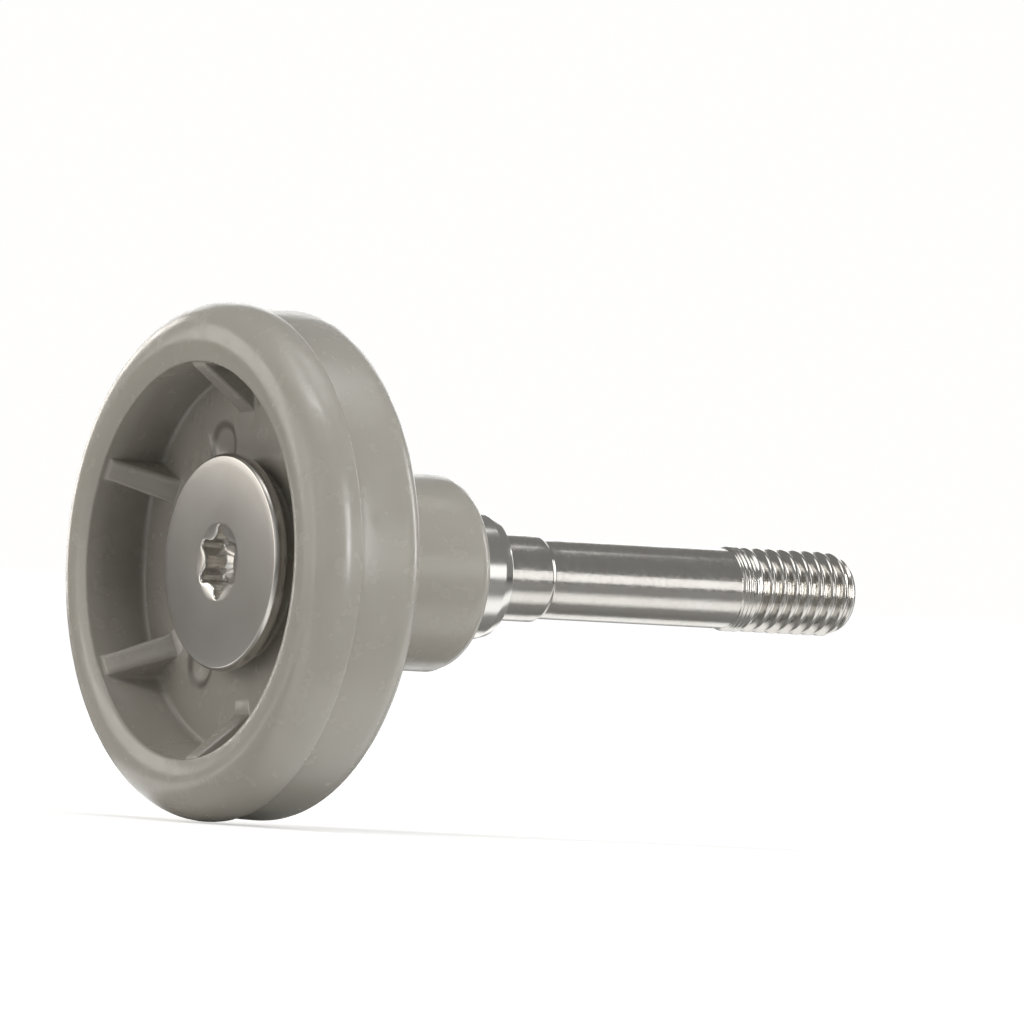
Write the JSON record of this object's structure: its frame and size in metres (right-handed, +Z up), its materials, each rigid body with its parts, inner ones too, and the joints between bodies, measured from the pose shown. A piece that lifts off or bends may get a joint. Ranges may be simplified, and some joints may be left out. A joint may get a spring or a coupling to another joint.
{
  "type": "rail roller",
  "caption": "Rail roller: a grey plastic wheel with a beaded tread and a long boss, free to spin on a steel sleeve held by a disc-headed bolt with an M6 stud.",
  "frame": {"origin": "on the spin axis, in the plane where the sleeve's rear end seats on the bracket", "axes": "+Y along the spin axis towards the end of the stud, +Z up"},
  "size_m": [0.0354, 0.0529, 0.0354],
  "materials": {
    "wheel_plastic": "warm grey moulded plastic, half gloss",
    "sleeve_steel": "turned stainless steel, polished",
    "bolt_steel": "cold-formed stainless steel, satin"
  },
  "bodies": {
    "axle": {"shoulder_bolt": "bolt_steel", "bearing_sleeve": "sleeve_steel"},
    "wheel": {"roller_wheel": "wheel_plastic"}
  },
  "joints": [
    {"name": "wheel_spin", "type": "hinge", "parent": "axle", "child": "wheel", "pos_m": [0, -0.0115, 0], "axis": [0, 1, 0], "continuous": true}
  ]
}
